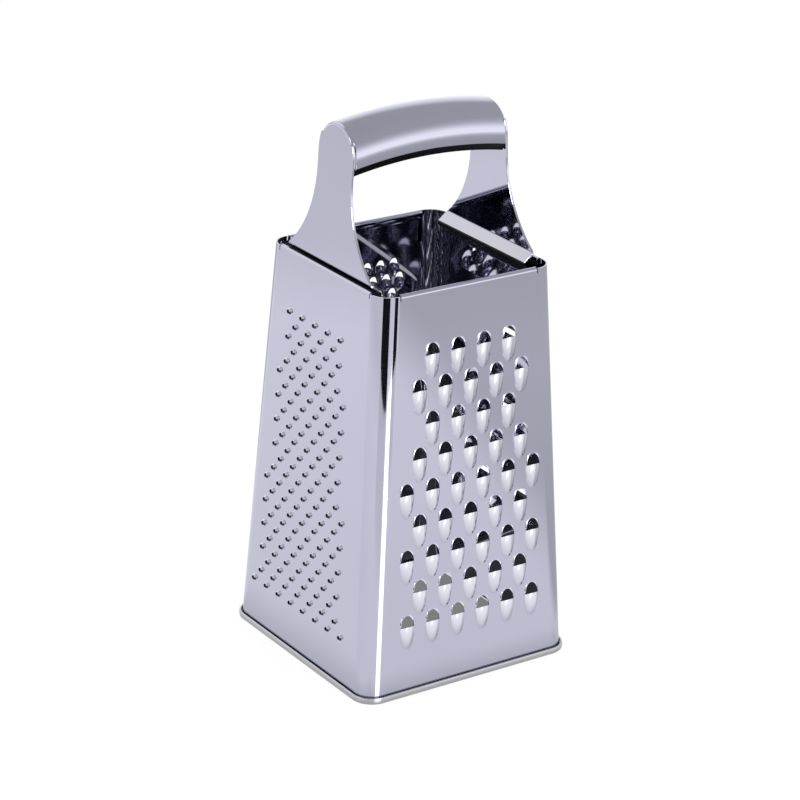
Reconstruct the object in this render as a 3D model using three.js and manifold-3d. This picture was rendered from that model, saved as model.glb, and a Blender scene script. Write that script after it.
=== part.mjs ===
// A four-sided box grater in stainless sheet: four punched walls that taper towards the top,
// a channel-section rim round the base and an arched handle whose feet sit inside the mouth.
// Millimetres, +Z up, origin on the floor at the middle of the base. The coarse wall faces -Y.

import * as THREE from "three";
import { mergeGeometries, mergeVertices } from "three/addons/utils/BufferGeometryUtils.js";
import Module from "manifold-3d";

const wasm = await Module();
wasm.setup();

// Body sheet
const BODY_HEIGHT = 166.6;
const BASE_WIDTH = 99.1;
const TOP_WIDTH = 81.2;
const CORNER_RADIUS = 8;
const SHEET = 0.5;
const SEAT_GAP = 0.3;
const BEND_STEPS = 3;

// Folded hem along the straight part of each top edge
const HEM_THICKNESS = 2;
const HEM_DEPTH = 3.6;
const HEM_END_GAP = 0.6;
const HEM_ROUND = 0.7;
const HEM_STEPS = 2;

// Channel rim round the base
const RIM_HEIGHT = 2.9;
const RIM_OVERHANG = 1.2;
const RIM_SHEET = 0.6;
const RIM_INNER_GAP = 0.5;
const RIM_ROUND = 0.5;
const RIM_CORNER_STEPS = 4;

// Coarse shredding scoops
const COARSE_PITCH = 12.1;
const COARSE_ROW_PITCH = 13.93;
const COARSE_TOP_MARGIN = 25.6;
const COARSE_BOTTOM_MARGIN = 28;
const COARSE_FIELD_TOP = 52.4;
const COARSE_FIELD_BOTTOM = 72;
const COARSE_WIDTH = 8;
const COARSE_LENGTH = 8.6;
const COARSE_RISE = 2.1;
const COARSE_OPENING = 4.2;

// Medium shredding scoops
const MEDIUM_PITCH = 6.5;
const MEDIUM_ROW_PITCH = 7.5;
const MEDIUM_TOP_MARGIN = 21.6;
const MEDIUM_BOTTOM_MARGIN = 36;
const MEDIUM_FIELD_TOP = 40;
const MEDIUM_FIELD_BOTTOM = 50;
const MEDIUM_WIDTH = 4.4;
const MEDIUM_LENGTH = 4.2;
const MEDIUM_RISE = 1.3;
const MEDIUM_OPENING = 2.5;

// Fine grating teeth: round holes pierced outwards
const FINE_PITCH = 9.22;
const FINE_ROW_PITCH = 5.23;
const FINE_TOP_MARGIN = 24.7;
const FINE_BOTTOM_MARGIN = 20;
const FINE_FIELD_TOP = 42;
const FINE_FIELD_BOTTOM = 65.6;
const FINE_FIELD_SHIFT = 3.6;
const FINE_BASE_RADIUS = 1.9;
const FINE_TIP_RADIUS = 1.25;
const FINE_HOLE_RADIUS = 0.8;
const FINE_RISE = 1.1;
const FINE_SIDES = 4;

// Slicing slots with a raised edge
const SLICER_COUNT = 3;
const SLICER_ROW_PITCH = 34;
const SLICER_TOP_MARGIN = 42;
const SLICER_WIDTH = 48;
const SLICER_LENGTH = 13;
const SLICER_RISE = 2.6;
const SLICER_OPENING = 4;

// Handle
const HANDLE_SHEET = 1;
const GRIP_WIDTH = 24.9;
const GRIP_TOP = 227.8;
const GRIP_ARCH_RADIUS = 208;
const GRIP_SKIRT = 2.2;
const GRIP_CURL_RADIUS = 3.3;
const GRIP_STEPS = 6;
const GRIP_SLIT = 1;
const CROWN_STEPS = 10;
const CURL_STEPS = 3;
const LEG_INSET = 1.9;
const FLARE_DROP = 23.8;
const FLARE_STEPS = 4;
const FOOT_WIDTH = 59.4;
const FOOT_CLEARANCE = 2;
const FOOT_REACH = 4.7;
const FOOT_FALL = 3.8;
const TAB_HEIGHT = 12;

// Cutters run past the faces they cut by this much
const OVERCUT = 1;

const TAPER_SLOPE = (BASE_WIDTH - TOP_WIDTH) / 2 / BODY_HEIGHT;
const TAPER = Math.atan(TAPER_SLOPE);
const WALL_BOTTOM = RIM_SHEET + SEAT_GAP;
const X = new THREE.Vector3(1, 0, 0);
const Y = new THREE.Vector3(0, 1, 0);
const Z = new THREE.Vector3(0, 0, 1);

// Half the outer width of the walls at height z.
function wallHalf(z) {
  return BASE_WIDTH / 2 - z * TAPER_SLOPE;
}

// A closed geometry as a solid that can be joined and cut. Faces that a pointed end has pinched
// to a line are left out.
function solid(geometry) {
  const bare = new THREE.BufferGeometry();
  bare.setAttribute("position", geometry.getAttribute("position"));
  bare.setIndex(geometry.index);
  const merged = mergeVertices(bare, 1e-4);
  const corners = merged.index.array;
  const triVerts = [];
  for (let n = 0; n < corners.length; n += 3) {
    const [a, b, c] = corners.slice(n, n + 3);
    if (a !== b && b !== c && c !== a) triVerts.push(a, b, c);
  }
  return new wasm.Manifold(
    new wasm.Mesh({
      numProp: 3,
      vertProperties: merged.getAttribute("position").array,
      triVerts: new Uint32Array(triVerts),
    }),
  );
}

// A solid back as a geometry for a mesh.
function geometryOf(body) {
  const { vertProperties, triVerts } = body.getMesh();
  const geometry = new THREE.BufferGeometry();
  geometry.setAttribute("position", new THREE.BufferAttribute(vertProperties, 3));
  geometry.setIndex(new THREE.BufferAttribute(triVerts, 1));
  geometry.computeVertexNormals();
  return geometry;
}

// A geometry over a grid of points, with each face given by its four corners.
function gridGeometry(countI, countJ, point, faces) {
  const positions = [];
  for (let j = 0; j < countJ; j++) {
    for (let i = 0; i < countI; i++) positions.push(...point(i, j));
  }
  const index = [];
  for (const [a, b, c, d] of faces) index.push(a, b, c, a, c, d);
  const geometry = new THREE.BufferGeometry();
  geometry.setAttribute("position", new THREE.Float32BufferAttribute(positions, 3));
  geometry.setIndex(index);
  return geometry;
}

// Sweeps a closed section round a closed path: both wrap, so the skin has no ends.
function tubeGeometry(sectionCount, pathCount, point) {
  const faces = [];
  for (let j = 0; j < pathCount; j++) {
    for (let i = 0; i < sectionCount; i++) {
      const nextI = (i + 1) % sectionCount;
      const nextJ = (j + 1) % pathCount;
      faces.push([
        i + j * sectionCount,
        i + nextJ * sectionCount,
        nextI + nextJ * sectionCount,
        nextI + j * sectionCount,
      ]);
    }
  }
  return gridGeometry(sectionCount, pathCount, point, faces);
}

// A block whose top is a grid of heights and whose floor is flat.
function heightBlock(countI, countJ, top, floor) {
  const layer = countI * countJ;
  const faces = [];
  const at = (i, j) => i + j * countI;
  for (let j = 0; j < countJ - 1; j++) {
    for (let i = 0; i < countI - 1; i++) {
      const quad = [at(i, j), at(i + 1, j), at(i + 1, j + 1), at(i, j + 1)];
      faces.push(quad);
      faces.push(quad.map((k) => k + layer).reverse());
    }
  }
  const rim = [];
  for (let i = 0; i < countI; i++) rim.push(at(i, 0));
  for (let j = 1; j < countJ; j++) rim.push(at(countI - 1, j));
  for (let i = countI - 2; i >= 0; i--) rim.push(at(i, countJ - 1));
  for (let j = countJ - 2; j > 0; j--) rim.push(at(0, j));
  rim.forEach((k, n) => {
    const next = rim[(n + 1) % rim.length];
    faces.push([k, k + layer, next + layer, next]);
  });
  return gridGeometry(
    layer,
    2,
    (k, level) => {
      const [u, v, w] = top(k % countI, Math.floor(k / countI));
      return [u, v, level ? floor : w];
    },
    faces,
  );
}

// Extrudes a shape evenly to both sides of its plane, whose axes point across and up.
function prism(shape, length, across, up, steps = 1, curveSegments = 6) {
  const settings = { depth: length, steps, curveSegments, bevelEnabled: false };
  const geometry = new THREE.ExtrudeGeometry(shape, settings).translate(0, 0, -length / 2);
  const along = new THREE.Vector3().crossVectors(across, up);
  return geometry.applyMatrix4(new THREE.Matrix4().makeBasis(across, up, along));
}

// Points along an arc, both ends included.
function arcPoints(x, y, radius, from, to, steps) {
  const points = [];
  for (let n = 0; n <= steps; n++) {
    const angle = THREE.MathUtils.lerp(from, to, n / steps);
    points.push(new THREE.Vector2(x + radius * Math.cos(angle), y + radius * Math.sin(angle)));
  }
  return points;
}

// The outline of a strip of sheet that follows a bent centre line, mitred at each bend.
function stripShape(points, thickness) {
  const sides = [[], []];
  const heading = (n) => new THREE.Vector2().subVectors(points[n + 1], points[n]).normalize();
  points.forEach((point, n) => {
    const into = heading(Math.max(n - 1, 0));
    const out = heading(Math.min(n, points.length - 2));
    const middle = into.clone().add(out).normalize();
    const normal = new THREE.Vector2(-middle.y, middle.x);
    const half = thickness / 2 / middle.dot(into);
    sides[0].push(point.clone().addScaledVector(normal, -half));
    sides[1].unshift(point.clone().addScaledVector(normal, half));
  });
  return new THREE.Shape([...sides[0], ...sides[1]]);
}

// Rows of places on a wall, staggered by half a pitch, inside a field that widens downwards.
function staggered({ pitch, rowPitch, topMargin, bottomMargin, fieldTop, fieldBottom, firstOdd }) {
  const top = BODY_HEIGHT - topMargin;
  const rows = Math.floor((top - bottomMargin) / rowPitch) + 1;
  const places = [];
  for (let row = 0; row < rows; row++) {
    const height = top - row * rowPitch;
    const share = (top - height) / (top - bottomMargin);
    const field = THREE.MathUtils.lerp(fieldTop, fieldBottom, share);
    const odd = row % 2 === 0 ? firstOdd : !firstOdd;
    const spans = Math.floor(field / pitch);
    const count = (spans + 1) % 2 === (odd ? 1 : 0) ? spans + 1 : spans;
    for (let n = 0; n < count; n++) {
      places.push([(n - (count - 1) / 2) * pitch, height / Math.cos(TAPER)]);
    }
  }
  return places;
}

// One copy of a geometry at each place of a wall.
function copies(geometry, places) {
  return solid(mergeGeometries(places.map(([u, v]) => geometry.clone().translate(u, v, 0))));
}

// A geometry and its copy at the other end of the handle.
function bothEnds(geometry) {
  return solid(mergeGeometries([geometry, geometry.clone().rotateZ(Math.PI)]));
}

// The sheet of one wall, with half of the bend at each of its two corners and a hem at the top.
// It is modelled in wall coordinates: u across, v up the slope, w outwards from the outer face.
function wallSheet() {
  const reach = Math.PI / 4 - SEAT_GAP / 2 / CORNER_RADIUS;
  const stations = [];
  for (let n = -BEND_STEPS; n <= BEND_STEPS; n++) {
    if (n === 0) stations.push([-1, 0], [1, 0]);
    else stations.push([Math.sign(n), (Math.abs(n) / BEND_STEPS) * reach]);
  }
  const count = stations.length;
  const section = (i, j) => {
    const outer = i < count;
    const [side, angle] = stations[outer ? i : 2 * count - 1 - i];
    const z = j ? BODY_HEIGHT : WALL_BOTTOM;
    const inset = outer ? 0 : SHEET;
    const radius = CORNER_RADIUS - inset / Math.cos(TAPER);
    const u = side * (wallHalf(z) - CORNER_RADIUS + radius * Math.sin(angle));
    const w = CORNER_RADIUS * Math.cos(TAPER) * (Math.cos(angle) - 1) - inset * Math.cos(angle);
    return [u, z / Math.cos(TAPER) - w * TAPER_SLOPE, w];
  };
  const faces = [];
  for (let i = 0; i < 2 * count; i++) {
    const next = (i + 1) % (2 * count);
    faces.push([i, next, next + 2 * count, i + 2 * count]);
  }
  for (let i = 0; i < count - 1; i++) {
    const across = 2 * count - 1 - i;
    faces.push([i + 1, i, across, across - 1]);
    faces.push([i, i + 1, across - 1, across].map((k) => k + 2 * count));
  }
  const sheet = solid(gridGeometry(2 * count, 2, section, faces));

  const top = BODY_HEIGHT / Math.cos(TAPER);
  const fold = new THREE.Shape();
  fold.moveTo(-SHEET / 2, top - SHEET);
  fold.lineTo(-SHEET / 2, top);
  fold.lineTo(-HEM_THICKNESS + HEM_ROUND, top);
  fold.absarc(-HEM_THICKNESS + HEM_ROUND, top - HEM_ROUND, HEM_ROUND, Math.PI / 2, Math.PI, false);
  fold.lineTo(-HEM_THICKNESS, top - HEM_DEPTH);
  fold.lineTo(-HEM_THICKNESS + SHEET, top - HEM_DEPTH);
  fold.lineTo(-HEM_THICKNESS + SHEET, top - SHEET);
  const length = TOP_WIDTH - 2 * (CORNER_RADIUS + HEM_END_GAP);
  return sheet.add(solid(prism(fold, length, Z, Y, 1, HEM_STEPS)));
}

// The punch for one raised cutter: the hood it lifts, the hollow behind the hood and the opening
// above the cutting edge. The edge runs across at v = 0 and the hood sinks back into the wall below.
function punch({ width, length, rise, opening, across, along }) {
  const thin = 1 - (2 * SHEET) / width;
  const hood = (scale, drop) => (i, j) => {
    const f = along.stations[j];
    const [side, lift] = across[across.length - 1 - i];
    const narrowing = along.pointed ? Math.sqrt(1 - f * f) : 1;
    const u = side * (width / 2) * narrowing * scale;
    return [u, -f * length * scale, rise * lift * (1 - f) * (1 + along.fullness * f) - drop];
  };
  const size = [across.length, along.stations.length];
  const mouth = new THREE.Shape();
  mouth.absellipse(0, 0, (width / 2) * thin, opening, 0, Math.PI, false, 0);
  return {
    outer: heightBlock(...size, hood(1, 0), -SHEET / 2),
    inner: heightBlock(...size, hood(thin, SHEET), -SHEET - OVERCUT),
    cut: prism(mouth, 2 * (rise + SHEET + OVERCUT), X, Y, 1, along.mouthSteps),
  };
}

// Arched hood for the shredding scoops, and a flat one with short ends for the slicing slots.
const ARCHED_5 = [[-1, 0], [-0.62, 0.72], [0, 1], [0.62, 0.72], [1, 0]];
const ARCHED_4 = [[-1, 0], [-0.45, 0.92], [0.45, 0.92], [1, 0]];
const FLAT_TOPPED = [[-1, 0], [-0.88, 1], [0.88, 1], [1, 0]];

function punchedWall(cutter, places) {
  const { outer, inner, cut } = punch(cutter);
  return wallSheet()
    .add(copies(outer, places))
    .subtract(copies(inner, places))
    .subtract(copies(cut, places));
}

function coarseWall() {
  const places = staggered({
    pitch: COARSE_PITCH,
    rowPitch: COARSE_ROW_PITCH,
    topMargin: COARSE_TOP_MARGIN,
    bottomMargin: COARSE_BOTTOM_MARGIN,
    fieldTop: COARSE_FIELD_TOP,
    fieldBottom: COARSE_FIELD_BOTTOM,
    firstOdd: false,
  });
  const cutter = {
    width: COARSE_WIDTH,
    length: COARSE_LENGTH,
    rise: COARSE_RISE,
    opening: COARSE_OPENING,
    across: ARCHED_5,
    along: { stations: [0, 0.55, 1], pointed: true, fullness: 0.6, mouthSteps: 3 },
  };
  return punchedWall(cutter, places);
}

function mediumWall() {
  const places = staggered({
    pitch: MEDIUM_PITCH,
    rowPitch: MEDIUM_ROW_PITCH,
    topMargin: MEDIUM_TOP_MARGIN,
    bottomMargin: MEDIUM_BOTTOM_MARGIN,
    fieldTop: MEDIUM_FIELD_TOP,
    fieldBottom: MEDIUM_FIELD_BOTTOM,
    firstOdd: true,
  });
  const cutter = {
    width: MEDIUM_WIDTH,
    length: MEDIUM_LENGTH,
    rise: MEDIUM_RISE,
    opening: MEDIUM_OPENING,
    across: ARCHED_4,
    along: { stations: [0, 1], pointed: true, fullness: 0.6, mouthSteps: 2 },
  };
  return punchedWall(cutter, places);
}

function slicerWall() {
  const places = [];
  for (let n = 0; n < SLICER_COUNT; n++) {
    places.push([0, (BODY_HEIGHT - SLICER_TOP_MARGIN - n * SLICER_ROW_PITCH) / Math.cos(TAPER)]);
  }
  const cutter = {
    width: SLICER_WIDTH,
    length: SLICER_LENGTH,
    rise: SLICER_RISE,
    opening: SLICER_OPENING,
    across: FLAT_TOPPED,
    along: { stations: [0, 0.5, 1], pointed: false, fullness: 0.3, mouthSteps: 5 },
  };
  return punchedWall(cutter, places);
}

// Each fine tooth is a hole pierced outwards, with a short burred neck left standing round it.
function fineWall() {
  const places = staggered({
    pitch: FINE_PITCH,
    rowPitch: FINE_ROW_PITCH,
    topMargin: FINE_TOP_MARGIN,
    bottomMargin: FINE_BOTTOM_MARGIN,
    fieldTop: FINE_FIELD_TOP,
    fieldBottom: FINE_FIELD_BOTTOM,
    firstOdd: true,
  }).map(([u, v]) => [u - FINE_FIELD_SHIFT, v]);
  const height = FINE_RISE + SHEET / 2;
  const neck = new THREE.CylinderGeometry(FINE_TIP_RADIUS, FINE_BASE_RADIUS, height, FINE_SIDES);
  neck.rotateX(Math.PI / 2).translate(0, 0, height / 2 - SHEET / 2);
  const depth = FINE_RISE + SHEET + 2 * OVERCUT;
  const hole = new THREE.CylinderGeometry(FINE_HOLE_RADIUS, FINE_HOLE_RADIUS, depth, FINE_SIDES);
  hole.rotateX(Math.PI / 2).translate(0, 0, depth / 2 - SHEET - OVERCUT);
  return wallSheet().add(copies(neck, places)).subtract(copies(hole, places));
}

// The rim is a channel with its open side up: the walls stand in it, clear of its floor.
function baseRim() {
  const outside = RIM_OVERHANG;
  const inside = -SHEET - RIM_INNER_GAP - RIM_SHEET;
  const section = [
    [inside, 0],
    [outside - RIM_ROUND, 0],
    [outside, RIM_ROUND],
    [outside, RIM_HEIGHT - RIM_ROUND],
    [outside - RIM_ROUND, RIM_HEIGHT],
    [outside - RIM_SHEET, RIM_HEIGHT],
    [outside - RIM_SHEET, RIM_SHEET],
    [inside + RIM_SHEET, RIM_SHEET],
    [inside + RIM_SHEET, RIM_HEIGHT],
    [inside, RIM_HEIGHT],
  ];
  const cornerPoints = RIM_CORNER_STEPS + 1;
  const centre = BASE_WIDTH / 2 - CORNER_RADIUS;
  const point = (i, j) => {
    const [offset, z] = section[i];
    const corner = Math.floor(j / cornerPoints);
    const angle = (corner + (j % cornerPoints) / RIM_CORNER_STEPS) * (Math.PI / 2);
    const turn = corner * (Math.PI / 2) + Math.PI / 4;
    const x = centre * Math.SQRT2 * Math.cos(turn) + (CORNER_RADIUS + offset) * Math.cos(angle);
    const y = centre * Math.SQRT2 * Math.sin(turn) + (CORNER_RADIUS + offset) * Math.sin(angle);
    return [x, y, z];
  };
  return solid(tubeGeometry(section.length, 4 * cornerPoints, point));
}

// Bends a straight bar along X into the grip's arch, whose crown is at the top of the handle.
function arch(geometry) {
  const position = geometry.getAttribute("position");
  for (let n = 0; n < position.count; n++) {
    const angle = position.getX(n) / GRIP_ARCH_RADIUS;
    const radius = GRIP_ARCH_RADIUS + position.getZ(n);
    const z = radius * Math.cos(angle) - GRIP_ARCH_RADIUS + GRIP_TOP;
    position.setXYZ(n, radius * Math.sin(angle), position.getY(n), z);
  }
  return geometry;
}

// The handle is one stamping: a grip rolled into an open channel, two flared legs that lean with
// the walls, and feet that step into the mouth and come back out to lie against the walls.
function handleSolid() {
  const half = GRIP_WIDTH / 2;
  const mid = half - HANDLE_SHEET / 2;
  const legX = (z) => wallHalf(z) - LEG_INSET - HANDLE_SHEET / 2;
  const span = 2 * (legX(GRIP_TOP) + half);

  const curl = GRIP_CURL_RADIUS - HANDLE_SHEET / 2;
  const channel = [
    ...arcPoints(-mid + curl, -half - GRIP_SKIRT, curl, 1.5 * Math.PI, Math.PI, CURL_STEPS),
    ...arcPoints(0, -half, mid, Math.PI, 0, CROWN_STEPS),
    ...arcPoints(mid - curl, -half - GRIP_SKIRT, curl, 0, -0.5 * Math.PI, CURL_STEPS),
  ];
  const shell = stripShape(channel, HANDLE_SHEET);
  const outline = new THREE.Shape([
    new THREE.Vector2(half, -half - GRIP_SKIRT),
    ...arcPoints(0, -half, half / Math.cos(Math.PI / 2 / CROWN_STEPS), 0, Math.PI, CROWN_STEPS),
    new THREE.Vector2(-half, -half - GRIP_SKIRT),
  ]);
  const grip = solid(arch(prism(shell, span, Y, Z, GRIP_STEPS)));
  const crown = solid(arch(prism(outline, span, Y, Z, GRIP_STEPS)));

  const footTop = BODY_HEIGHT + FOOT_CLEARANCE;
  const tabX = (z) => wallHalf(z) - SHEET - SEAT_GAP - HANDLE_SHEET / 2;
  const toe = new THREE.Vector2(legX(footTop) - FOOT_REACH, footTop - FOOT_FALL);
  const tabTop = toe.y - (tabX(toe.y) - toe.x);
  const bends = [
    new THREE.Vector2(legX(GRIP_TOP + half), GRIP_TOP + half),
    new THREE.Vector2(legX(footTop), footTop),
    toe,
    new THREE.Vector2(tabX(tabTop), tabTop),
    new THREE.Vector2(tabX(tabTop - TAB_HEIGHT), tabTop - TAB_HEIGHT),
  ];
  const ribbons = bothEnds(prism(stripShape(bends, HANDLE_SHEET), FOOT_WIDTH + OVERCUT, X, Z));

  const spring = GRIP_TOP - half - legX(GRIP_TOP) ** 2 / (2 * GRIP_ARCH_RADIUS);
  const flareTop = GRIP_TOP - FLARE_DROP;
  const widening = FOOT_WIDTH / 2 - half;
  const flareHeight = flareTop - footTop;
  const flare = (flareHeight ** 2 + widening ** 2) / (2 * widening);
  const sweep = Math.atan2(flareHeight, flare - widening);
  const front = new THREE.Shape();
  front.moveTo(-FOOT_WIDTH / 2, tabTop - TAB_HEIGHT - OVERCUT);
  front.lineTo(FOOT_WIDTH / 2, tabTop - TAB_HEIGHT - OVERCUT);
  front.absarc(half + flare, flareTop, flare, Math.PI + sweep, Math.PI, true);
  front.lineTo(half, spring);
  front.lineTo(-half, spring);
  front.absarc(-half - flare, flareTop, flare, 0, -sweep, true);
  const face = solid(prism(front, 2 * BASE_WIDTH, Y, Z, 1, FLARE_STEPS));
  const legs = ribbons.intersect(face.add(crown));

  const ends = new THREE.Shape();
  const low = footTop;
  const high = GRIP_TOP + half;
  const outerX = (z) => legX(z) + HANDLE_SHEET / 2;
  ends.moveTo(-outerX(low), low);
  ends.lineTo(outerX(low), low);
  ends.lineTo(outerX(high), high);
  ends.lineTo(-outerX(high), high);
  const between = solid(prism(ends, 2 * GRIP_WIDTH, X, Z));

  const slit = new THREE.Shape();
  const slitX = (z) => legX(z) - HANDLE_SHEET / 2 - GRIP_SLIT;
  slit.moveTo(slitX(low), low);
  slit.lineTo(outerX(low) + OVERCUT, low);
  slit.lineTo(outerX(low) + OVERCUT, spring);
  slit.lineTo(slitX(spring), spring);
  const reliefs = bothEnds(prism(slit, 2 * GRIP_WIDTH, X, Z));
  return grip.intersect(between).subtract(reliefs).add(legs);
}

const polished = { color: 0xc4c4d2, roughness: 0.12, metalness: 1 };
const satin = { color: 0xb4b4be, roughness: 0.35, metalness: 1 };

const grater = new THREE.Group();

function piece(name, body, finish) {
  const mesh = new THREE.Mesh(geometryOf(body), new THREE.MeshStandardMaterial(finish));
  mesh.name = name;
  return mesh;
}

// Stands a wall on its outer bottom edge, leans it in and turns it to its side of the box.
function addWall(name, body, quarterTurns) {
  const wall = piece(name, body, polished);
  wall.position.y = -BASE_WIDTH / 2;
  wall.rotation.x = Math.PI / 2 - TAPER;
  const side = new THREE.Group();
  side.rotation.z = (quarterTurns * Math.PI) / 2;
  side.add(wall);
  grater.add(side);
}

addWall("coarse_panel", coarseWall(), 0);
addWall("slicer_panel", slicerWall(), 1);
addWall("medium_panel", mediumWall(), 2);
addWall("fine_panel", fineWall(), 3);
grater.add(piece("base_rim", baseRim(), satin));
grater.add(piece("handle", handleSolid(), satin));

export default grater;
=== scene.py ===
from math import asin, atan, atan2, cos, floor, hypot, pi, radians, sin, sqrt

import bpy
from mathutils import Matrix, Vector


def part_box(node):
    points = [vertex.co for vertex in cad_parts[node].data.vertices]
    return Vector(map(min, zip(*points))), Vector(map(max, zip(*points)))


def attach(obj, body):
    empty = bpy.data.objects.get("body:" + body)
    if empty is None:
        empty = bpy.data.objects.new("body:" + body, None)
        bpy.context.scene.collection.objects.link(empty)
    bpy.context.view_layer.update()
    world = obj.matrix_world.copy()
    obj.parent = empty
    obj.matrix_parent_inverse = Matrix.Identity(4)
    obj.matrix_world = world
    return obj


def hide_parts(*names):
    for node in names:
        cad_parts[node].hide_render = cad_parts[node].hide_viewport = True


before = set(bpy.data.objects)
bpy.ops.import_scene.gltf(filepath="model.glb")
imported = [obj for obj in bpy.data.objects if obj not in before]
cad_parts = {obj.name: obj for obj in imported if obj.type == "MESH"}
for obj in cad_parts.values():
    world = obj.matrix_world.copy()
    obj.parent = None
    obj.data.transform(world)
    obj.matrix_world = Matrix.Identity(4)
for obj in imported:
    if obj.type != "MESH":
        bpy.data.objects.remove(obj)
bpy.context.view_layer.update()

# Camera: a long lens looking down on the corner between the coarse and the fine wall, turned
# a little about its own axis.
mm = 0.001
CAMERA_AZIMUTH = radians(-34.61)
CAMERA_ELEVATION = radians(22.25)
CAMERA_ROLL = radians(1.673)
CAMERA_DISTANCE = 1221.8 * mm
CAMERA_TARGET = Vector((0, 0, 83.3)) * mm
CAMERA_SLIDE = Vector((-1.99, 18.26)) * mm
CAMERA_LENS = 136.08
SENSOR_WIDTH = 36

bpy.ops.object.select_all(action="DESELECT")
bpy.ops.object.camera_add()
camera = bpy.context.object
camera.name = "camera"
camera.data.lens = CAMERA_LENS
camera.data.sensor_width = SENSOR_WIDTH
back = Vector((
    sin(CAMERA_AZIMUTH) * cos(CAMERA_ELEVATION),
    -cos(CAMERA_AZIMUTH) * cos(CAMERA_ELEVATION),
    sin(CAMERA_ELEVATION),
))
right = Vector((cos(CAMERA_AZIMUTH), sin(CAMERA_AZIMUTH), 0))
up = back.cross(right)
right, up = (
    right * cos(CAMERA_ROLL) + up * sin(CAMERA_ROLL),
    up * cos(CAMERA_ROLL) - right * sin(CAMERA_ROLL),
)
camera.matrix_world = Matrix.Translation(
    CAMERA_TARGET + back * CAMERA_DISTANCE + right * CAMERA_SLIDE.x + up * CAMERA_SLIDE.y
) @ Matrix((right, up, back)).transposed().to_4x4()
bpy.context.scene.camera = camera
bpy.context.scene.view_settings.view_transform = "Standard"

# Floor: a glossy white table top that runs on to a white background. To the camera it is white
# with the object's soft shadow, and painted shade, a grey glow, under the footprint. In the steel
# it shows a faint sheen over a painted glow that falls off with distance, with a painted dimmer
# side towards +X, a painted contact shadow round the object and painted shade under the footprint.
FLOOR_SIZE = 8
FLOOR_GLOW = ((0.0, 0.86), (0.19, 0.86), (0.26, 0.68), (0.38, 0.6), (0.8, 0.95))
FLOOR_REACH = 2.5
# Painted shade under the footprint: its glow in reflections, then its glow to the camera.
FOOTPRINT_MIRRORED_PAINTED_SHADE = 0.04
FOOTPRINT_SEEN_PAINTED_SHADE = 0.2
DIM_SIDE = Vector((0.93, 0.37, 0))
DIM_START = 0.035
DIM_STOP = 0.085
DIM_SHARE = 0.42
CONTACT_SHADE = 0.3
CONTACT_REACH = 0.03
FLOOR_SHADOW = 0.1
FLOOR_GLOSS = 0.06
FLOOR_SHEEN = 0.35
FLOOR_WHITE = (0.9, 0.9, 0.9, 1)
FOOTPRINT_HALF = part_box("base_rim")[1].x - 3.2 * mm


class Wire:
    """A shader socket that takes part in Python arithmetic, adding Math nodes to its tree."""

    def __init__(self, tree, socket):
        self.tree = tree
        self.socket = socket

    @staticmethod
    def node(tree, kind, settings=None, sockets=None, output=0):
        """Adds a node: its settings first, then the values or links of its sockets."""
        node = tree.nodes.new(kind)
        for name, value in (settings or {}).items():
            if name == "stops":
                ramp = node.color_ramp.elements
                while len(ramp) < len(value):
                    ramp.new(1)
                for element, (place, grey) in zip(ramp, value):
                    element.position = place
                    element.color = (grey, grey, grey, 1)
            else:
                setattr(node, name, value)
        for name, value in (sockets or {}).items():
            if isinstance(value, Wire):
                tree.links.new(value.socket, node.inputs[name])
            else:
                node.inputs[name].default_value = value
        return Wire(tree, node.outputs[output]) if node.outputs else node

    def _math(self, operation, first, second):
        return Wire.node(self.tree, "ShaderNodeMath", {"operation": operation}, {0: first, 1: second})

    def __add__(self, other):
        return self._math("ADD", self, other)

    def __radd__(self, other):
        return self._math("ADD", other, self)

    def __sub__(self, other):
        return self._math("SUBTRACT", self, other)

    def __rsub__(self, other):
        return self._math("SUBTRACT", other, self)

    def __mul__(self, other):
        return self._math("MULTIPLY", self, other)

    def __rmul__(self, other):
        return self._math("MULTIPLY", other, self)

    def __pow__(self, other):
        return self._math("POWER", self, other)


def clear_tree(owner):
    """The empty node tree of a material or of the world."""
    owner.use_nodes = True
    owner.node_tree.nodes.clear()
    return owner.node_tree


def eased(tree, value, start, stop):
    """0 below start and 1 above stop, with a smooth step between them."""
    return Wire.node(
        tree,
        "ShaderNodeMapRange",
        {"interpolation_type": "SMOOTHSTEP"},
        {0: value, 1: start, 2: stop, 3: 0.0, 4: 1.0},
    )


bpy.ops.mesh.primitive_plane_add(size=FLOOR_SIZE)
table_top = bpy.context.object
table_top.name = "floor"
white_top = bpy.data.materials.new("white table top")
tree = clear_tree(white_top)
place = Wire.node(tree, "ShaderNodeTexCoord", output=3)
across = Wire.node(tree, "ShaderNodeSeparateXYZ", sockets={0: place})
along = Wire(tree, across.socket.node.outputs[1])
distance = (across * across + along * along) ** 0.5
share = distance * (1 / FLOOR_REACH)
glow = Wire.node(tree, "ShaderNodeValToRGB", {"stops": FLOOR_GLOW}, {0: share})
side = across * DIM_SIDE.x + along * DIM_SIDE.y
lit = glow * (1 - DIM_SHARE * eased(tree, side, DIM_START, DIM_STOP))
reach = Wire.node(
    tree,
    "ShaderNodeMath",
    {"operation": "MAXIMUM"},
    {
        0: Wire.node(tree, "ShaderNodeMath", {"operation": "ABSOLUTE"}, {0: across}),
        1: Wire.node(tree, "ShaderNodeMath", {"operation": "ABSOLUTE"}, {0: along}),
    },
)
outside = Wire.node(
    tree,
    "ShaderNodeMath",
    {"operation": "GREATER_THAN"},
    {0: reach, 1: FOOTPRINT_HALF},
)
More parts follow.
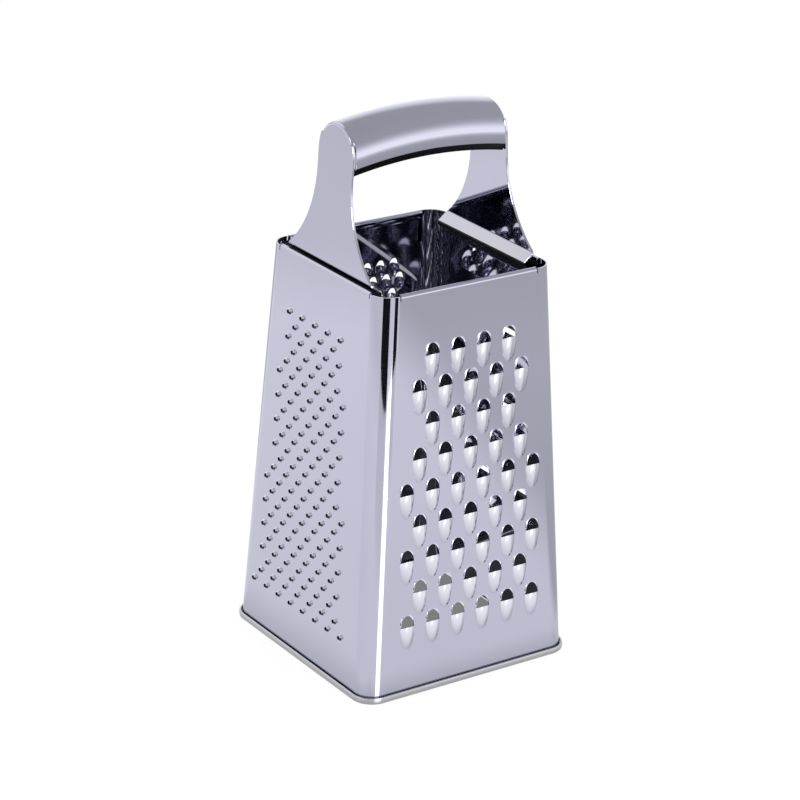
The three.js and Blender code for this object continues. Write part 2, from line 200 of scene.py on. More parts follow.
# Painted contact shadow round the object and painted shade under its footprint, in what the steel
# reflects.
clear = eased(tree, reach, FOOTPRINT_HALF, FOOTPRINT_HALF + CONTACT_REACH)
shaded = lit * (1 - CONTACT_SHADE + CONTACT_SHADE * clear)
level = FOOTPRINT_MIRRORED_PAINTED_SHADE + outside * (shaded - FOOTPRINT_MIRRORED_PAINTED_SHADE)
shade = Wire.node(tree, "ShaderNodeCombineColor", sockets={0: level, 1: level, 2: level})
mirrored = Wire.node(
    tree,
    "ShaderNodeBsdfPrincipled",
    sockets={
        "Base Color": (0, 0, 0, 1),
        "Specular IOR Level": FLOOR_SHEEN,
        "Roughness": FLOOR_GLOSS,
        "Emission Color": shade,
        "Emission Strength": 1.0,
    },
)
matt = Wire.node(tree, "ShaderNodeBsdfDiffuse", sockets={"Color": FLOOR_WHITE})
# Painted shade: to the camera the floor under the footprint glows only grey.
level = FOOTPRINT_SEEN_PAINTED_SHADE + (1 - FOOTPRINT_SEEN_PAINTED_SHADE) * outside
bright = Wire.node(tree, "ShaderNodeCombineColor", sockets={0: level, 1: level, 2: level})
white = Wire.node(tree, "ShaderNodeEmission", sockets={"Color": bright, "Strength": 1.0})
seen = Wire.node(tree, "ShaderNodeMixShader", sockets={0: 1 - FLOOR_SHADOW, 1: matt, 2: white})
camera_ray = Wire.node(tree, "ShaderNodeLightPath")
glossy_ray = Wire(tree, camera_ray.socket.node.outputs["Is Glossy Ray"])
reflected = Wire.node(tree, "ShaderNodeMixShader", sockets={0: glossy_ray, 1: matt, 2: mirrored})
surface = Wire.node(tree, "ShaderNodeMixShader", sockets={0: camera_ray, 1: reflected, 2: seen})
Wire.node(tree, "ShaderNodeOutputMaterial", sockets={"Surface": surface})
table_top.data.materials.append(white_top)

# Studio: a pale room that is brightest low down and mid grey overhead, white behind the object
# for the camera, with a wide window front right and bright walls behind. Soft boxes stand in
# front, on the left and overhead, and low black cards stand at the table's near edge.
ROOM_GREYS = ((0.0, 0.8), (0.12, 0.84), (0.36, 0.74), (0.55, 0.56), (1.0, 0.52))
WINDOW_GLOW = 0.65
WINDOW_AZIMUTH = 36
BACK_GLOW = 0.58
BACK_AZIMUTH = 199
BACK_ELEVATION = 37
REAR_GLOW = 0.4
REAR_AZIMUTH = 142
REAR_ELEVATION = 8


def compass(azimuth, elevation, distance):
    """A place seen from the object: azimuth from -Y towards +X, in degrees."""
    a, e = radians(azimuth), radians(elevation)
    return Vector((sin(a) * cos(e), -cos(a) * cos(e), sin(e))) * distance


world = bpy.data.worlds.new("studio")
bpy.context.scene.world = world
tree = clear_tree(world)
heading = Wire.node(tree, "ShaderNodeTexCoord")
height = Wire.node(tree, "ShaderNodeSeparateXYZ", sockets={0: heading}, output=2)


def towards(tree, heading, azimuth, elevation):
    """How closely a heading points to a place in the room, up to 1."""
    aim = compass(azimuth, elevation, 1)
    return Wire.node(
        tree,
        "ShaderNodeVectorMath",
        {"operation": "DOT_PRODUCT"},
        {0: heading, 1: aim},
        output=1,
    )


facing_window = eased(tree, towards(tree, heading, WINDOW_AZIMUTH, 0), 0.3, 0.8)
window = facing_window * (1 - eased(tree, height, 0.04, 0.45))
back_wall = eased(tree, towards(tree, heading, BACK_AZIMUTH, BACK_ELEVATION), 0.84, 0.97)
rear_wall = eased(tree, towards(tree, heading, REAR_AZIMUTH, REAR_ELEVATION), 0.78, 0.95)
room = Wire.node(tree, "ShaderNodeValToRGB", {"stops": ROOM_GREYS}, {0: height})
room = room + WINDOW_GLOW * window + BACK_GLOW * back_wall + REAR_GLOW * rear_wall
camera_ray = Wire.node(tree, "ShaderNodeLightPath")
air = room * (1 - camera_ray) + camera_ray
colour = Wire.node(tree, "ShaderNodeCombineColor", sockets={0: air, 1: air, 2: air})
backdrop = Wire.node(tree, "ShaderNodeBackground", sockets={"Color": colour, "Strength": 1.0})
Wire.node(tree, "ShaderNodeOutputWorld", sockets={"Surface": backdrop})

LIGHT_AIM = Vector((0, 0, 100)) * mm


def soft_box(name, azimuth, elevation, distance, width, height, power):
    """An area lamp that faces the object."""
    bpy.ops.object.light_add(type="AREA", location=LIGHT_AIM + compass(azimuth, elevation, distance))
    lamp = bpy.context.object
    lamp.name = name
    lamp.data.shape = "RECTANGLE"
    lamp.data.size = width
    lamp.data.size_y = height
    lamp.data.energy = power
    lamp.rotation_mode = "QUATERNION"
    lamp.rotation_quaternion = (lamp.location - LIGHT_AIM).to_track_quat("Z", "Y")
    return lamp


soft_box(
    "front soft box",
    azimuth=-2, elevation=17.5, distance=2.0, width=0.82, height=0.66, power=16,
)
soft_box(
    "left soft box",
    azimuth=-95, elevation=27, distance=2.0, width=0.4, height=0.3, power=1.2,
)
overhead = soft_box(
    "overhead soft box",
    azimuth=0, elevation=89, distance=1.8, width=1.5, height=1.5, power=25,
)
overhead.visible_glossy = False


CARD_BLACK = (0.01, 0.01, 0.012, 1)
CARD_FADE = (0.05, 0.5)


def black_card(name, azimuth, spread, distance, height, yaw):
    """A low card on the table that only reflections show, turned a little by its yaw."""
    bpy.ops.mesh.primitive_plane_add(size=1)
    card = bpy.context.object
    card.name = name
    card.scale = (2 * distance * sin(radians(spread)), height, 1)
    card.rotation_euler = (pi / 2, 0, radians(azimuth + yaw))
    card.location = compass(azimuth, 0, distance) + Vector((0, 0, height / 2))
    card.visible_camera = False
    card.visible_shadow = False
    card.visible_diffuse = False
    card.data.materials.append(card_black)


card_black = bpy.data.materials.new("black card")
tree = clear_tree(card_black)
place = Wire.node(tree, "ShaderNodeTexCoord", output=3)
card_height = Wire.node(tree, "ShaderNodeSeparateXYZ", sockets={0: place}, output=1)
black = Wire.node(tree, "ShaderNodeBsdfDiffuse", sockets={"Color": CARD_BLACK})
sheer = Wire.node(tree, "ShaderNodeBsdfTransparent")
faded = Wire.node(
    tree,
    "ShaderNodeMixShader",
    sockets={0: eased(tree, card_height, *CARD_FADE), 1: black, 2: sheer},
)
Wire.node(tree, "ShaderNodeOutputMaterial", sockets={"Surface": faded})
black_card("near card", azimuth=-40.5, spread=20, distance=0.57, height=110 * mm, yaw=22)
black_card("side card", azimuth=11.5, spread=8.5, distance=0.53, height=80 * mm, yaw=0)

# Body: one stainless sheet, half a millimetre thick, folded round into a tapering four-sided box
# and mirror polished. The cutters are punched out through its walls, and each straight top edge
# is hemmed inwards between two small slits, so that no raw edge is left at the mouth.
RIM_OVERHANG = 1.2 * mm
BODY_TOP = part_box("slicer_panel")[1].z
BODY_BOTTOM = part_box("slicer_panel")[0].z
BASE_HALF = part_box("base_rim")[1].x - RIM_OVERHANG
TOP_HALF = 40.6 * mm
SHEET = 0.5 * mm
CORNER_RADIUS = 8 * mm
CORNER_STEPS = 12
CORNER_MARGIN = 0.4 * mm
HEM_RADIUS = 1.2 * mm
HEM_DEPTH = 3.6 * mm
HEM_STEPS = 8
HEM_MARGIN = 0.3 * mm
SLIT_DEPTH = 2.4 * mm
SLIT_WIDTH = 0.5 * mm
TAPER_SLOPE = (BASE_HALF - TOP_HALF) / BODY_TOP
TAPER = atan(TAPER_SLOPE)
SMOOTH_ANGLE = radians(40)
PUNCHED_EDGE = 0.35
BELOW_HOLE = 0.3
SCOOP_FULLNESS = 0.6
SLIT_LIFT = 0.3
WELD = 0.02 * mm
TINY = 1e-6


def wall_half(z):
    """Half the outer width of the walls at height z."""
    return BASE_HALF - z * TAPER_SLOPE


def add(name, primitive, **settings):
    """Adds a primitive with nothing else selected."""
    if bpy.context.mode != "OBJECT":
        bpy.ops.object.mode_set(mode="OBJECT")
    bpy.ops.object.select_all(action="DESELECT")
    primitive(**settings)
    piece = bpy.context.object
    piece.name = piece.data.name = name
    return piece


def outline(name, points):
    """A closed outline through the points, from a circle with as many corners."""
    ring = add(name, bpy.ops.mesh.primitive_circle_add, vertices=len(points))
    for vertex, point in zip(ring.data.vertices, points):
        vertex.co = point
    return ring


def rolled(name, columns, rows, place):
    """A grid of sheet whose crossings are set by place(column, row)."""
    sheet = add(
        name,
        bpy.ops.mesh.primitive_grid_add,
        x_subdivisions=columns,
        y_subdivisions=rows,
        size=2,
    )
    for vertex in sheet.data.vertices:
        column = round((vertex.co.x + 1) / 2 * columns)
        row = round((vertex.co.y + 1) / 2 * rows)
        vertex.co = place(column, row)
    return sheet


def joined(name, pieces):
    """Several meshes as one object."""
    bpy.ops.object.select_all(action="DESELECT")
    for piece in pieces:
        piece.select_set(True)
    bpy.context.view_layer.objects.active = pieces[0]
    bpy.ops.object.join()
    pieces[0].name = pieces[0].data.name = name
    return pieces[0]


def copies(tile, places):
    """A copy of a tile, with its own mesh, at each place on its wall."""
    made = []
    for u, v in places:
        bpy.ops.object.select_all(action="DESELECT")
        tile.select_set(True)
        bpy.context.view_layer.objects.active = tile
        bpy.ops.object.duplicate()
        copy = bpy.context.object
        copy.data.transform(Matrix.Translation((u, v, 0)))
        made.append(copy)
    bpy.data.objects.remove(tile)
    return made


def punched_tile(name, around, rings, shape, below=0, above=0):
    """One cutter: a disc of sheet, inset ring by ring down to the slug of its hole, and then
    formed to shape(turn, share), where share runs from 0 at the hole to 1 at the border.
    Below or above the hole the sheet is marked: at 1 it is rougher satin with a painted highlight,
    a paler tint, and at -1 it gets painted shade, a near-black tint on the burr."""
    tile = add(name, bpy.ops.mesh.primitive_circle_add, vertices=around, fill_type="NGON")
    bpy.ops.object.mode_set(mode="EDIT")
    for _ in range(rings):
        bpy.ops.mesh.inset(thickness=cos(pi / around) / (rings + 1))
    bpy.ops.object.mode_set(mode="OBJECT")
    thinned = tile.vertex_groups.new(name="thinned")
    pressing_and_painted_light = []
    for vertex in tile.data.vertices:
        share = min(max((hypot(vertex.co.x, vertex.co.y) * (rings + 1) - 1) / rings, 0), 1)
        turn = atan2(vertex.co.y, vertex.co.x)
        vertex.co = shape(turn, share)
        thinned.add([vertex.index], 1 - share, "REPLACE")
        # The mark on each vertex: positive for rougher satin with a painted highlight, negative for
        # painted shade.
        pressing_and_painted_light.append((below if turn < BELOW_HOLE else above) * (1 - share))
    tile.data.attributes.new("pressed", "FLOAT", "POINT").data.foreach_set("value", pressing_and_painted_light)
    return tile


def scoop(hole, slit, opening, bow, rise, shoulder, base, length, border, rings, square=1.0):
    """The shape of a raised scoop. Its cutting lip bows across at v = 0 with the hole above it,
    and its back slopes down below to a rounded toe."""

    def power(value):
        return (abs(value) ** square) * (1 if value >= 0 else -1)

    def shape(turn, share):
        low = -pi + TINY < turn < -TINY
        side, lift = power(cos(turn)), abs(power(sin(turn)))
        at_slit = abs(sin(turn)) < TINY
        half = slit if at_slit else hole
        edge = Vector((half * side, (bow if low else opening) * (lift ** 2 if low else lift)))
        top = shoulder + (rise - shoulder) * lift**2 if low else shoulder * (1 - lift)
        toe = Vector((base * side, (-length if low else opening + base - hole) * lift))
        step = share * rings / (rings - 1)
        if step > 1 + TINY:
            point = toe + Vector((border * side, border * (-lift if low else lift)))
            return (*point, 0)
        run = (1 - cos(pi * step)) / 2
        point = edge.lerp(toe, run)
        lip = SLIT_LIFT * top if at_slit else top
        return (*point, lip * (1 - run) * (1 + SCOOP_FULLNESS * run))

    return shape


def staggered(
    pitch, row_pitch, top_margin, bottom_margin, field_top, field_bottom, first_odd, shift=0
):
    """Rows of places on a wall, staggered by half a pitch, in a field that widens downwards."""
    top = BODY_TOP - top_margin
    rows = floor((top - bottom_margin) / row_pitch) + 1
    places = []
    for row in range(rows):
        height = top - row * row_pitch
        share = (top - height) / (top - bottom_margin)
        field = field_top + (field_bottom - field_top) * share
        odd = first_odd if row % 2 == 0 else not first_odd
        spans = floor(field / pitch)
        count = spans + 1 if (spans + 1) % 2 == odd else spans
        for n in range(count):
            places.append(((n - (count - 1) / 2) * pitch - shift, height / cos(TAPER)))
    return places


def wall(name, tiles, quarter_turns):
    """One flat wall round its tiles, in wall coordinates: u across, v up the slope, w outwards.
    It is filled between the tiles, rid of the slugs, given its hem and stood on its side of the box."""
    side = wall_half(BODY_BOTTOM) - CORNER_RADIUS - CORNER_MARGIN
    slit_z = BODY_TOP - SLIT_DEPTH
    shoulder = wall_half(slit_z) - CORNER_RADIUS - CORNER_MARGIN
    hem_end = shoulder - SLIT_WIDTH
    bottom_v = BODY_BOTTOM / cos(TAPER)
    slit_v = slit_z / cos(TAPER)
    roll_v = (BODY_TOP - HEM_RADIUS) / cos(TAPER)
    corners = [
        (side, bottom_v),
        (shoulder, slit_v),
        (hem_end, slit_v),
        (hem_end, roll_v - HEM_MARGIN),
    ]
    corners += [(-u, v) for u, v in reversed(corners)]
    sheet = joined(name, [outline(name, [(u, v, 0) for u, v in corners]), *tiles])
    bpy.ops.object.mode_set(mode="EDIT")
    bpy.ops.mesh.select_mode(type="EDGE")
    bpy.ops.mesh.select_all(action="DESELECT")
    bpy.ops.mesh.select_non_manifold()
    bpy.ops.mesh.fill()
    bpy.ops.mesh.select_mode(type="FACE")
    bpy.ops.mesh.select_all(action="DESELECT")
    bpy.ops.mesh.select_face_by_sides(number=4, type="GREATER")
    bpy.ops.mesh.delete(type="ONLY_FACE")
    bpy.ops.object.mode_set(mode="OBJECT")

    def hem_place(column, row):
        u = hem_end * (2 * column - 1)
        if row == 0:
            return (u, roll_v - HEM_MARGIN, 0)
        if row > HEM_STEPS + 1:
            return (u, roll_v - HEM_DEPTH + HEM_RADIUS, -2 * HEM_RADIUS)
        angle = pi * (row - 1) / HEM_STEPS
        return (u, roll_v + HEM_RADIUS * sin(angle), HEM_RADIUS * (cos(angle) - 1))

    hem = rolled("hem", 1, HEM_STEPS + 2, hem_place)
    sheet = joined(name, [sheet, hem])
    stand = (
        Matrix.Rotation(quarter_turns * pi / 2, 4, "Z")
        @ Matrix.Translation((0, -BASE_HALF, 0))
        @ Matrix.Rotation(pi / 2 - TAPER, 4, "X")
    )
    sheet.data.transform(stand)
    return sheet


def corner(quarter_turns):
    """The bend between two walls, with a narrow flat margin of each of them."""

    def place(column, row):
        z = (BODY_BOTTOM, BODY_TOP - SLIT_DEPTH, BODY_TOP - SLIT_WIDTH)[row]
        centre = wall_half(z) - CORNER_RADIUS
        angle = pi / 2 * min(max(column - 1, 0), CORNER_STEPS) / CORNER_STEPS
        x = -centre - CORNER_RADIUS * cos(angle)
        y = -centre - CORNER_RADIUS * sin(angle)
        if column == 0:
            y += CORNER_MARGIN
        if column == CORNER_STEPS + 2:
            x += CORNER_MARGIN
        return Matrix.Rotation(quarter_turns * pi / 2, 3, "Z") @ Vector((x, y, z))

    return rolled("bend", CORNER_STEPS + 2, 2, place)


COARSE_RINGS = 8
coarse_tile = punched_tile(
    "coarse scoop", 32, COARSE_RINGS,
    scoop(
        hole=3.05 * mm, slit=3.35 * mm, opening=4.6 * mm, bow=0.7 * mm, rise=2.1 * mm,
        shoulder=0.65 * mm, base=3.55 * mm, length=9.7 * mm, border=0.6 * mm, rings=COARSE_RINGS,
    ),
    # The back below each hole gets rougher satin and a painted highlight, a paler tint.
    below=1,
)
coarse_places = staggered(
    pitch=12.1 * mm, row_pitch=13.87 * mm, top_margin=26 * mm, bottom_margin=28 * mm,
    field_top=52.4 * mm, field_bottom=72 * mm, first_odd=False, shift=-0.6 * mm,
)
coarse_wall = wall("coarse wall", copies(coarse_tile, coarse_places), 0)

SLICER_RINGS = 6
SLICER_COUNT = 3
SLICER_ROW_PITCH = 34 * mm
SLICER_TOP_MARGIN = 42 * mm
slicer_tile = punched_tile(
    "slicer slot", 48, SLICER_RINGS,
    scoop(
        hole=27 * mm, slit=27.4 * mm, opening=4.5 * mm, bow=0.2 * mm, rise=2.6 * mm,
        shoulder=1.6 * mm, base=28.6 * mm, length=13 * mm, border=0.8 * mm, rings=SLICER_RINGS,
        square=0.4,
    ),
)
slicer_places = []
for n in range(SLICER_COUNT):
    slot_z = BODY_TOP - SLICER_TOP_MARGIN - n * SLICER_ROW_PITCH
    slicer_places.append((0, slot_z / cos(TAPER)))
slicer_wall = wall("slicer wall", copies(slicer_tile, slicer_places), 1)

MEDIUM_RINGS = 5
medium_tile = punched_tile(
    "medium scoop", 16, MEDIUM_RINGS,
    scoop(
        hole=1.95 * mm, slit=2.15 * mm, opening=2.9 * mm, bow=0.35 * mm, rise=1.3 * mm,
        shoulder=0.4 * mm, base=2.4 * mm, length=4.7 * mm, border=0.35 * mm, rings=MEDIUM_RINGS,
    ),
)
medium_places = staggered(
    pitch=6.5 * mm, row_pitch=6.7 * mm, top_margin=22.4 * mm, bottom_margin=36 * mm,
    field_top=46 * mm, field_bottom=56 * mm, first_odd=True, shift=1 * mm,
)
medium_wall = wall("medium wall", copies(medium_tile, medium_places), 2)

FINE_RINGS = 5
FINE_HOLE = 0.95 * mm
FINE_BASE = 1.5 * mm
FINE_BORDER = 0.35 * mm
FINE_RISE = 0.95 * mm


def burred_tooth(turn, share):
    """The shape of a fine tooth: a hole pierced outwards, with a short burred neck round it."""
    step = share * FINE_RINGS / (FINE_RINGS - 1)
    if step > 1 + TINY:
        radius, height = FINE_BASE + FINE_BORDER, 0
    else:
        step = min(step, 1)
        radius = FINE_HOLE + (FINE_BASE - FINE_HOLE) * step
        height = FINE_RISE * (1 - step) ** 1.5 * (1 + 0.5 * step)
    return (radius * cos(turn), radius * sin(turn), height)


# Painted shade, a near-black tint, on the neck below each tooth's hole, and a painted highlight, a
# paler tint with rougher satin, above it.
fine_tile = punched_tile("fine tooth", 12, FINE_RINGS, burred_tooth, below=-1, above=1)
fine_places = staggered(
    pitch=9.22 * mm, row_pitch=5.23 * mm, top_margin=24.7 * mm, bottom_margin=20 * mm,
    field_top=42 * mm, field_bottom=65.6 * mm, first_odd=True, shift=3.6 * mm,
)
fine_wall = wall("fine wall", copies(fine_tile, fine_places), 3)


def finish_sheet(piece, thickness, offset):
    """Welds a piece's seams, turns its faces outwards, gives it its thickness and smooths it."""
    bpy.ops.object.select_all(action="DESELECT")
    piece.select_set(True)
    bpy.context.view_layer.objects.active = piece
    bpy.ops.object.mode_set(mode="EDIT")
    bpy.ops.mesh.select_all(action="SELECT")
    bpy.ops.mesh.remove_doubles(threshold=WELD)
    bpy.ops.mesh.normals_make_consistent(inside=False)
    bpy.ops.object.mode_set(mode="OBJECT")
    if thickness:
        solid = piece.modifiers.new("sheet", "SOLIDIFY")
        solid.thickness = thickness
        solid.offset = offset
        if "thinned" in piece.vertex_groups:
            solid.vertex_group = "thinned"
            solid.invert_vertex_group = True
            solid.thickness_vertex_group = PUNCHED_EDGE
        bpy.ops.object.modifier_apply(modifier=solid.name)
    bpy.ops.object.shade_smooth_by_angle(angle=SMOOTH_ANGLE)


def flatten(piece):
    """Shades the triangles and many-sided faces of flat sheet flat, so that they reflect truly."""
    for face in piece.data.polygons:
        if len(face.vertices) != 4:
            face.use_smooth = False


walls = [coarse_wall, slicer_wall, medium_wall, fine_wall]
body = joined("body", [*walls, *(corner(n) for n in range(4))])
finish_sheet(body, SHEET, -1)
flatten(body)

# Painted highlight: a paler tint on the formed parts of the cutters; the dulling makes them rougher
# satin.
PAINTED_HIGHLIGHT_TINT = (0.88, 0.88, 0.98)
PRESSED_DULLING = 0.13
# Painted shade: a near-black tint on the burr below each fine tooth's hole.
PAINTED_SHADE_TINT = (0.05, 0.05, 0.07)
CLOUD_SCALE = 22
CLOUD_SHADE = 0.93
SMUDGE_SCALE = 60
SMUDGE_DULLING = 0.02


def steel(name, tint, gloss, wave, grain, scratch):
    """Stainless steel: its tint with a faint cloud, its gloss with smudges, long waves from the
    rolling and pressing, a fine grain along one direction, rougher satin with a painted highlight,
    a paler tint, where the cutters are formed, and painted shade, a near-black tint, on the burrs."""
    material = bpy.data.materials.new(name)
    tree = clear_tree(material)
    place = Wire.node(tree, "ShaderNodeTexCoord", output=3)

    def noise(vector, scale, detail):
        sockets = {"Vector": vector, "Scale": scale, "Detail": detail}
        return Wire.node(tree, "ShaderNodeTexNoise", sockets=sockets)

    def mixed(factor, first, second):
        sockets = {0: factor, 6: first, 7: second}
        return Wire.node(tree, "ShaderNodeMix", {"data_type": "RGBA"}, sockets, output=2)

    cloud = noise(place, CLOUD_SCALE, 2)
    smudge = noise(place, SMUDGE_SCALE, 4)
    stretched = Wire.node(tree, "ShaderNodeMapping", sockets={"Vector": place, "Scale": grain})
    lines = noise(stretched, 1, 3)
    attribute = Wire.node(tree, "ShaderNodeAttribute", {"attribute_name": "pressed"}, output=2)
    pressed = eased(tree, attribute, 0.05, 0.8)
    burred = eased(tree, 0 - attribute, 0.1, 0.6)
    dull = tuple(CLOUD_SHADE * part for part in tint)
    clouded = mixed(cloud, (*dull, 1), (*tint, 1))
    # Painted highlight: the paler tint where the cutters are formed.
    satin = mixed(pressed, clouded, (*PAINTED_HIGHLIGHT_TINT, 1))
    # Painted shade: the near-black tint on the burrs.
    colour = mixed(burred, satin, (*PAINTED_SHADE_TINT, 1))
    roughness = gloss + SMUDGE_DULLING * smudge + SMUDGE_DULLING * lines + PRESSED_DULLING * pressed
    smooth = Wire.node(
        tree,
        "ShaderNodeBump",
        sockets={"Strength": 1.0, "Distance": wave, "Height": cloud},
    )
    fine = Wire.node(
        tree,
        "ShaderNodeBump",
        sockets={"Strength": 1.0, "Distance": scratch, "Height": lines, "Normal": smooth},
    )
    surface = Wire.node(
        tree,
        "ShaderNodeBsdfPrincipled",
        sockets={
            "Base Color": colour,
            "Metallic": 1.0,
            "Roughness": roughness,
            "Normal": fine,
        },
    )
    Wire.node(tree, "ShaderNodeOutputMaterial", sockets={"Surface": surface})
    return material


polished_steel = steel(
    "polished steel",
    tint=(0.54, 0.54, 0.66), gloss=0.02,
    wave=0.004 * mm, grain=(900, 900, 40), scratch=0.00005 * mm,
)
body.data.materials.clear()
body.data.materials.append(polished_steel)
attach(body, "root")
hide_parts("coarse_panel", "slicer_panel", "medium_panel", "fine_panel")

# Base rim: a narrow stainless channel with its open side up, rolled round the foot of the body
# and left satin. The walls stand in it.
RIM_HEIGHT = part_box("base_rim")[1].z
RIM_SHEET = 0.6 * mm
RIM_ROUND = 0.9 * mm
RIM_LIP = 0.42 * mm
RIM_PLAY = 0.5 * mm
RIM_INSIDE = -SHEET - RIM_PLAY - RIM_SHEET
RIM_ROUND_STEPS = 5
RIM_CORNER_STEPS = 12

rim_section = [(RIM_INSIDE, 0)]
for n in range(RIM_ROUND_STEPS + 1):
    angle = pi / 2 * n / RIM_ROUND_STEPS
    rim_section.append((RIM_OVERHANG - RIM_ROUND * (1 - sin(angle)), RIM_ROUND * (1 - cos(angle))))
for n in range(RIM_ROUND_STEPS + 1):
    angle = pi * n / RIM_ROUND_STEPS
    rim_section.append((
        RIM_OVERHANG - RIM_LIP * (1 - cos(angle)),
        RIM_HEIGHT - RIM_LIP * (1 - sin(angle)),
    ))
rim_section += [
    (RIM_OVERHANG - RIM_SHEET, RIM_SHEET),
    (RIM_INSIDE + RIM_SHEET, RIM_SHEET),
    (RIM_INSIDE + RIM_SHEET, RIM_HEIGHT),
    (RIM_INSIDE, RIM_HEIGHT),
    (RIM_INSIDE, 0),
]


def rim_place(column, row):
    offset, z = rim_section[row]
    column %= 4 * (RIM_CORNER_STEPS + 1)
    turn, step = divmod(column, RIM_CORNER_STEPS + 1)
    angle = pi / 2 * (turn + step / RIM_CORNER_STEPS)
    centre = (BASE_HALF - CORNER_RADIUS) * sqrt(2)
    diagonal = pi / 2 * turn + pi / 4
    radius = CORNER_RADIUS + offset
    return (
        centre * cos(diagonal) + radius * cos(angle),
        centre * sin(diagonal) + radius * sin(angle),
        z,
    )


rim = rolled("base_rim_band", 4 * (RIM_CORNER_STEPS + 1), len(rim_section) - 1, rim_place)
finish_sheet(rim, 0, 0)
satin_steel = steel(
    "satin steel",
    tint=(0.57, 0.57, 0.61), gloss=0.24,
    wave=0.03 * mm, grain=(200, 200, 2500), scratch=0.001 * mm,
)
rim.data.materials.append(satin_steel)
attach(rim, "root")
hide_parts("base_rim")

# Handle: one stamping of 1 mm stainless. The grip is rolled into an arched channel with its edges
# turned in, the flared legs lean in line with the walls, and folded feet sit inside the mouth.
HANDLE_SHEET = 1 * mm
HANDLE_ROUND = 0.2 * mm
GRIP_CLEARANCE = 0.4 * mm
GRIP_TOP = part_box("handle")[1].z - GRIP_CLEARANCE - HANDLE_SHEET / 2
GRIP_HALF = 12.45 * mm - HANDLE_SHEET / 2
GRIP_ARCH = 208 * mm - HANDLE_SHEET / 2
GRIP_SKIRT = 2.1 * mm
GRIP_BEND = 2.5 * mm - HANDLE_SHEET / 2
GRIP_TURN = radians(30)
GRIP_EDGE = 3.3 * mm
GRIP_SLIT = 0.4 * mm
CROWN_STEPS = 28
BEND_STEPS = 5
ARCH_STEPS = 14
SLIT_START = 9
LEG_EDGE_START = 0.3
LEG_EDGE_EXTRA = 0.45 * mm
LEG_INSET = 1.9 * mm
LEG_HALF = 12.0 * mm
LEG_FILLET = 0.7 * mm
LEG_FILLET_STEPS = 5
LEG_MARGIN = 0.3 * mm
FLARE_TOP = 204 * mm
FLARE_STEPS = 12
FOOT_HALF = 29.7 * mm
FOOT_TOP = BODY_TOP + 1.2 * mm
FOOT_REACH = 4.7 * mm
FOOT_FALL = 3.8 * mm
FOOT_BEND = 0.8 * mm
TAB_HEIGHT = 12 * mm
SEAT_GAP = 0.3 * mm
ON_LINE = 0.01 * mm
ON_SHEET = 0.7 * mm


def leg_x(z):
    """The middle of the leg's sheet at height z."""
    return wall_half(z) - LEG_INSET - HANDLE_SHEET / 2


# The grip's half, from its middle along the arch to the leg. The crown stops a fillet short of
# the leg's plane, and the skirts stop at a slit.
leg_normal = Vector((cos(TAPER), 0, sin(TAPER)))
leg_foot = Vector((leg_x(FOOT_TOP), 0, FOOT_TOP))
bend_centre = (-GRIP_HALF + GRIP_BEND, -GRIP_HALF - GRIP_SKIRT)
channel = [(
    bend_centre[0] - GRIP_BEND * cos(GRIP_TURN) + GRIP_EDGE * sin(GRIP_TURN),
    bend_centre[1] - GRIP_BEND * sin(GRIP_TURN) - GRIP_EDGE * cos(GRIP_TURN),
)]
for n in range(BEND_STEPS + 1):
    angle = GRIP_TURN * (1 - n / BEND_STEPS)
    channel.append((
        bend_centre[0] - GRIP_BEND * cos(angle),
        bend_centre[1] - GRIP_BEND * sin(angle),
    ))
for n in range(CROWN_STEPS + 1):
    angle = pi - pi * n / CROWN_STEPS
    channel.append((GRIP_HALF * cos(angle), GRIP_HALF * (sin(angle) - 1)))
channel += [(-y, z) for y, z in reversed(channel[: BEND_STEPS + 2])]


def grip_place(column, row):
    y, z = channel[row]
    from_top = abs(row - (len(channel) - 1) / 2)
    stop = LEG_FILLET if from_top <= SLIT_START else HANDLE_SHEET / 2 + GRIP_SLIT
    reach = leg_foot.x * cos(TAPER) + (FOOT_TOP - GRIP_TOP + GRIP_ARCH) * sin(TAPER) - stop
    angle = (asin(reach / (GRIP_ARCH + z)) - TAPER) * column / ARCH_STEPS
    return ((GRIP_ARCH + z) * sin(angle), y, GRIP_TOP - GRIP_ARCH + (GRIP_ARCH + z) * cos(angle))


handle = rolled("handle_strap", ARCH_STEPS, len(channel) - 1, grip_place)

# The crown's end is turned over the fillet into the plane of the leg.
end_height = (GRIP_ARCH - GRIP_HALF) * cos(leg_x(GRIP_TOP) / GRIP_ARCH) + GRIP_TOP - GRIP_ARCH
end_centre = Vector((leg_x(end_height), 0, end_height))


def leg_distance(point):
    """How far a point lies outside the leg's plane."""
    return (point - leg_foot).dot(leg_normal)


handle_mesh = handle.data
for vertex in handle_mesh.vertices:
    vertex.select = abs(leg_distance(vertex.co) + LEG_FILLET) < ON_LINE
for edge in handle_mesh.edges:
    edge.select = all(handle_mesh.vertices[n].select for n in edge.vertices)
for face in handle_mesh.polygons:
    face.select = False
turned = [(pi / 2 * n / LEG_FILLET_STEPS, 0) for n in range(LEG_FILLET_STEPS + 1)]
turned.append((pi / 2, LEG_MARGIN))
for (angle, inward), (next_angle, next_inward) in zip(turned, turned[1:]):
    bpy.ops.object.mode_set(mode="EDIT")
    bpy.ops.mesh.select_mode(type="EDGE")
    bpy.ops.mesh.extrude_edges_move()
    bpy.ops.object.mode_set(mode="OBJECT")
    shrink = LEG_FILLET * (cos(angle) - cos(next_angle)) + next_inward - inward
    advance = LEG_FILLET * (sin(next_angle) - sin(angle))
    for vertex in handle_mesh.vertices:
        if vertex.select:
            radial = vertex.co - end_centre
            radial -= leg_normal * radial.dot(leg_normal)
            vertex.co += leg_normal * advance - radial.normalized() * shrink
arc = [vertex.co.copy() for vertex in handle_mesh.vertices if vertex.select]

